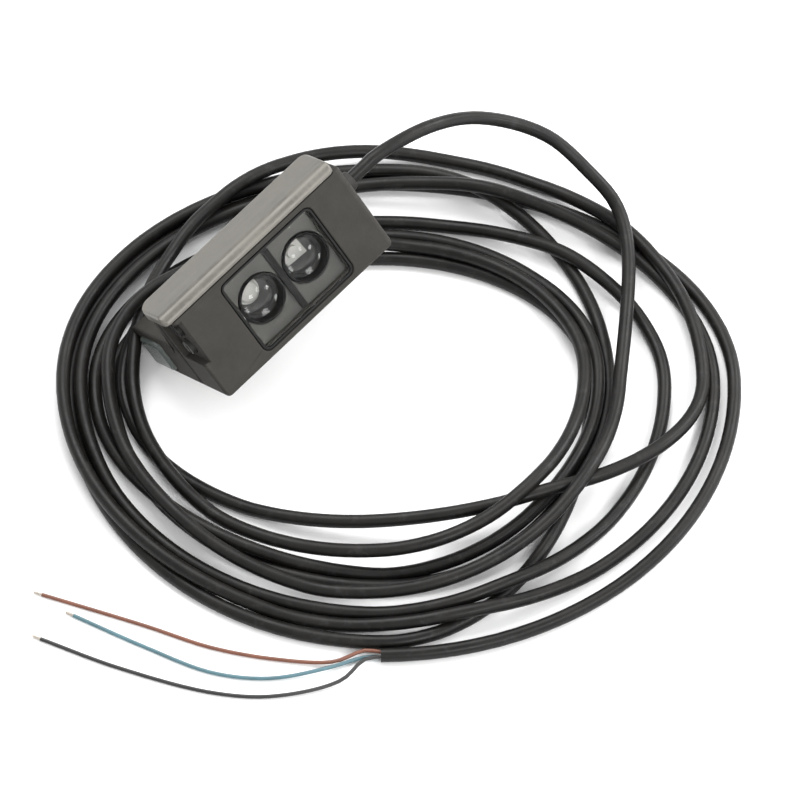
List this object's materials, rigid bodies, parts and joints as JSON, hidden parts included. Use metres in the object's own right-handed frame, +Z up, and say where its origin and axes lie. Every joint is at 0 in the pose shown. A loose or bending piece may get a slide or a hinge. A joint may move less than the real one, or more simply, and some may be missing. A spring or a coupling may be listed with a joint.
{
  "type": "photoelectric sensor",
  "caption": "Compact rectangular photoelectric sensor with a recessed lens window, a side bar, end controls and a loosely coiled cable ending in bare leads.",
  "frame": {"origin": "on the floor, under the middle of the head's bounding box, with the head as it leans on its own coiled cable", "axes": "+Z up from the floor; +X to the right, towards the cable end; +Y away from the lens face, the head's longest run over the floor as it leans"},
  "size_m": [0.1992, 0.19, 0.063],
  "materials": {
    "housing": "satin moulded plastic",
    "plate": "silver-grey satin",
    "seal": "matt",
    "window": "polished",
    "bezel": "satin",
    "optic_black": "matt",
    "lens": "polished",
    "board": "solder-mask gloss",
    "chip": "matt",
    "tin": "satin",
    "brass": "turned",
    "steel": "plated",
    "indicator": "milky, translucent",
    "knob": "matt",
    "selector": "matt",
    "led_red": "clear epoxy",
    "led_green": "clear epoxy",
    "led_orange": "clear epoxy",
    "cable": "satin sheath",
    "wire_brown": "satin",
    "wire_blue": "satin",
    "wire_black": "satin"
  },
  "bodies": {
    "sensor": {"adjuster_potentiometer": "chip", "adjuster_seal": "seal", "amplifier_chip": "chip", "board_connector": "chip", "cable_bush": "seal", "cable_clamp": "steel", "cable_coil": "cable", "cable_run": "cable", "cable_tail": "cable", "emitter_led": "led_red", "emitter_lens": "lens", "filter_capacitor": "tin", "front_housing": "housing", "front_window": "window", "housing_screw_1": "steel", "housing_screw_2": "steel", "housing_screw_3": "steel", "housing_screw_4": "steel", "housing_seal": "seal", "indicator_window": "indicator", "inner_bezel": "bezel", "inner_black_wire": "wire_black", "inner_blue_wire": "wire_blue", "inner_brown_wire": "wire_brown", "lead_black": "wire_black", "lead_blue": "wire_blue", "lead_brown": "wire_brown", "lens_holder": "optic_black", "main_board": "board", "mounting_insert_1": "brass", "mounting_insert_2": "brass", "optics_board": "board", "output_led": "led_orange", "output_transistor": "chip", "photodiode": "chip", "preamp_shield": "tin", "rear_cover": "housing", "receiver_lens": "lens", "selector_seal": "seal", "selector_switch": "chip", "side_bar": "plate", "stability_led": "led_green", "window_gasket": "seal"},
    "adjuster": {"sensitivity_adjuster": "knob"},
    "selector": {"mode_selector": "selector"}
  },
  "joints": [
    {"name": "sensitivity_turn", "type": "hinge", "parent": "sensor", "child": "adjuster", "pos_m": [-0.02361, -0.02717, 0.04009], "axis": [-0.7065, -0.6775, -0.2045], "range_deg": [-120, 120]},
    {"name": "mode_turn", "type": "hinge", "parent": "sensor", "child": "selector", "pos_m": [-0.02015, -0.02921, 0.03485], "axis": [-0.7065, -0.6775, -0.2045], "range_deg": [0, 90]}
  ]
}
